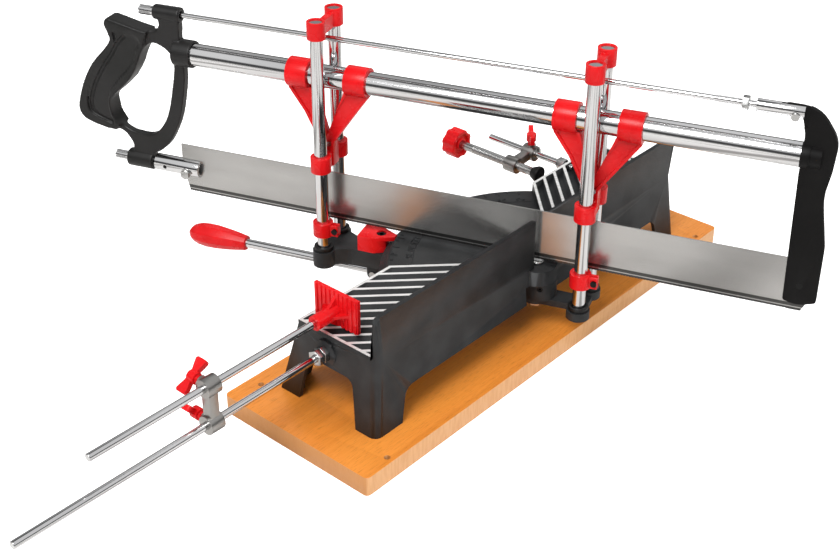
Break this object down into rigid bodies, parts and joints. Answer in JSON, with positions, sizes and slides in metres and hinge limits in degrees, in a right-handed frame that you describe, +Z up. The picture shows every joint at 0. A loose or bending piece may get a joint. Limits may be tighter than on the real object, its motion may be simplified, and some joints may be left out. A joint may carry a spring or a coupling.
{
  "type": "manual mitre saw",
  "caption": "Manual mitre saw: hand saw on sliding guide posts over a swivelling table with fence, length stop and work clamp, on a wooden board.",
  "frame": {"origin": "on the swivel axis at the underside of the board", "axes": "+Z up, +X along the fence towards the length stop, +Y from the operator to the fence side"},
  "size_m": [0.7213, 0.6155, 0.267],
  "materials": {
    "beech": "satin",
    "black_casting": "satin",
    "black_paint": "satin",
    "black_plastic": "matt",
    "handle_plastic": "matt",
    "red_plastic": "gloss",
    "chrome": "polished",
    "zinc_steel": "bright",
    "zinc_casting": "satin",
    "blade_steel": "brushed",
    "dark_steel": "satin"
  },
  "bodies": {
    "base": {"base_board": "beech", "table_casting": "black_casting", "board_screws": "zinc_steel", "swivel_bolt": "zinc_steel", "length_stop_rod": "chrome", "length_stop_nuts": "zinc_steel", "clamp_rod": "chrome", "clamp_rod_nut": "zinc_steel"},
    "turntable": {"swivel_arm": "black_casting", "boss_rings": "black_plastic", "guide_rods": "chrome", "pointer_block": "red_plastic", "pointer_screw": "dark_steel", "hub_screw": "dark_steel", "lever_pivot_pin": "zinc_steel"},
    "lever": {"lever_rod": "chrome", "lever_grip": "red_plastic"},
    "lift": {"guide_posts": "chrome", "post_plugs": "chrome", "front_yoke_cap": "red_plastic", "rear_yoke_cap": "red_plastic", "front_carrier": "red_plastic", "rear_carrier": "red_plastic", "carrier_screws": "zinc_steel"},
    "front_stop": {"front_depth_stop": "red_plastic", "front_stop_screw": "dark_steel"},
    "rear_stop": {"rear_depth_stop": "red_plastic", "rear_stop_screw": "dark_steel"},
    "saw": {"frame_tube": "chrome", "tension_rod": "chrome", "handle": "handle_plastic", "end_plate": "black_paint", "tube_plug": "black_plastic", "clevis": "chrome", "clevis_pin": "zinc_steel", "blade": "blade_steel", "blade_pin_rear": "dark_steel", "blade_carrier": "chrome", "blade_bolt": "zinc_steel", "blade_pin_front": "dark_steel"},
    "tension_screw": {"tension_screw": "chrome"},
    "blade_screw": {"blade_screw": "chrome"},
    "lock_nut": {"lock_nut": "zinc_steel"},
    "bracket": {"stop_bracket": "zinc_casting"},
    "upper_wing": {"upper_wing_screw": "red_plastic"},
    "lower_wing": {"lower_wing_screw": "red_plastic"},
    "stop_slide": {"stop_slide_rod": "chrome", "stop_plate": "red_plastic"},
    "clamp": {"clamp_bracket": "zinc_casting"},
    "clamp_wing": {"clamp_wing_screw": "red_plastic"},
    "clamp_pad": {"clamp_pad": "black_plastic"},
    "clamp_spindle": {"clamp_spindle": "zinc_steel", "clamp_knob": "red_plastic"}
  },
  "joints": [
    {"name": "swivel", "type": "hinge", "parent": "base", "child": "turntable", "pos_m": [0, 0, 0.05], "axis": [0, 0, 1], "range_deg": [-48.2, 24.8]},
    {"name": "lever_tip", "type": "hinge", "parent": "turntable", "child": "lever", "pos_m": [0.05007, -0.13608, 0.035], "axis": [-0.9385, -0.3453, 0], "range_deg": [0, 4], "stiffness_Nm_per_rad": 1, "springref_deg": -5.73},
    {"name": "lift", "type": "slide", "parent": "turntable", "child": "lift", "axis": [0, 0, 1], "range_m": [0, 0.075]},
    {"name": "stroke", "type": "slide", "parent": "lift", "child": "saw", "axis": [-0.3453, 0.9385, 0], "range_m": [-0.098, 0.083]},
    {"name": "front_stop_slide", "type": "slide", "parent": "lift", "child": "front_stop", "axis": [0, 0, 1], "range_m": [-0.01, 0.046]},
    {"name": "rear_stop_slide", "type": "slide", "parent": "lift", "child": "rear_stop", "axis": [0, 0, 1], "range_m": [-0.01, 0.046]},
    {"name": "tension_turn", "type": "hinge", "parent": "saw", "child": "tension_screw", "pos_m": [0.12085, -0.32847, 0.2466], "axis": [-0.3453, 0.9385, 0], "continuous": true},
    {"name": "blade_screw_turn", "type": "hinge", "parent": "saw", "child": "blade_screw", "pos_m": [0.13467, -0.36601, 0.1025], "axis": [-0.3453, 0.9385, 0], "continuous": true},
    {"name": "lock_nut_turn", "type": "hinge", "parent": "saw", "child": "lock_nut", "pos_m": [-0.05231, 0.14218, 0.2466], "axis": [-0.3453, 0.9385, 0], "continuous": true},
    {"name": "bracket_slide", "type": "slide", "parent": "base", "child": "bracket", "axis": [1, 0, 0], "range_m": [-0.06, 0.05]},
    {"name": "rod_slide", "type": "slide", "parent": "bracket", "child": "stop_slide", "axis": [1, 0, 0], "range_m": [-0.03, 0.09]},
    {"name": "upper_wing_turn", "type": "hinge", "parent": "bracket", "child": "upper_wing", "pos_m": [0.3133, -0.06, 0.0995], "axis": [0, -1, 0], "continuous": true},
    {"name": "lower_wing_turn", "type": "hinge", "parent": "bracket", "child": "lower_wing", "pos_m": [0.3133, -0.06, 0.068], "axis": [0, -1, 0], "continuous": true},
    {"name": "clamp_swing", "type": "hinge", "parent": "base", "child": "clamp", "pos_m": [-0.15, -0.121, 0.08], "axis": [0, -1, 0], "range_deg": [-20, 120]},
    {"name": "clamp_wing_turn", "type": "hinge", "parent": "clamp", "child": "clamp_wing", "pos_m": [-0.15, -0.121, 0.095], "axis": [0, 0, 1], "continuous": true},
    {"name": "pad_advance", "type": "slide", "parent": "clamp", "child": "clamp_pad", "axis": [0, 1, 0], "range_m": [-0.008, 0.006]},
    {"name": "spindle_turn", "type": "hinge", "parent": "clamp_pad", "child": "clamp_spindle", "pos_m": [-0.12251, -0.19, 0.0775], "axis": [0, 1, 0], "range_deg": [-1441, 1081]}
  ],
  "couplings": [
    {"joint": "spindle_turn", "follows": "pad_advance", "rad_per_m": 3141.6}
  ]
}
